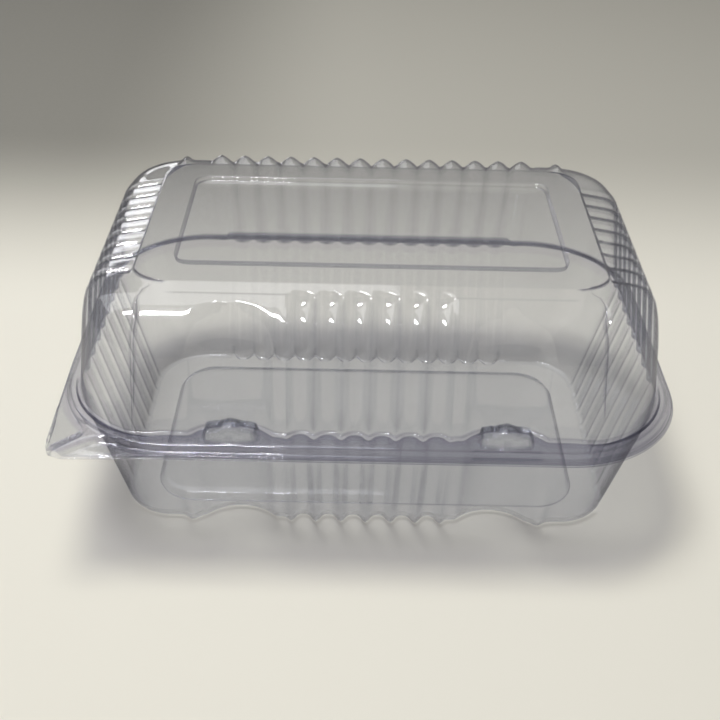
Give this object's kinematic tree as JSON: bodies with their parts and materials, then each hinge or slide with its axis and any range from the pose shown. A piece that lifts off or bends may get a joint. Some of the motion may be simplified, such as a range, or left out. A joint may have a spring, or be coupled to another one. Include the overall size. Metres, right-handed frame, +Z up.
{
  "type": "plastic clamshell pack",
  "caption": "Clear hinged plastic clamshell food pack: a tapered tray with a raised floor, a fluted and pleated lid with a recessed top panel, a beaded snap flange and a corner pull tab.",
  "frame": {"origin": "on the ground under the middle of the closed pack's box", "axes": "+X to the right seen from the opening side, -Y towards the opening side, +Y towards the fold, +Z up"},
  "size_m": [0.237, 0.1668, 0.1046],
  "materials": {
    "tray_sheet": "clear formed sheet, glossy, faintly blue where it is seen edge on",
    "lid_sheet": "clear formed sheet, glossy, faintly blue where it is seen edge on"
  },
  "bodies": {
    "tray": {"base_tray": "tray_sheet"},
    "cover": {"lid": "lid_sheet"}
  },
  "joints": [
    {"name": "lid_hinge", "type": "hinge", "parent": "tray", "child": "cover", "pos_m": [0, 0.08355, 0.0523], "axis": [-1, 0, 0], "range_deg": [0, 180]}
  ]
}
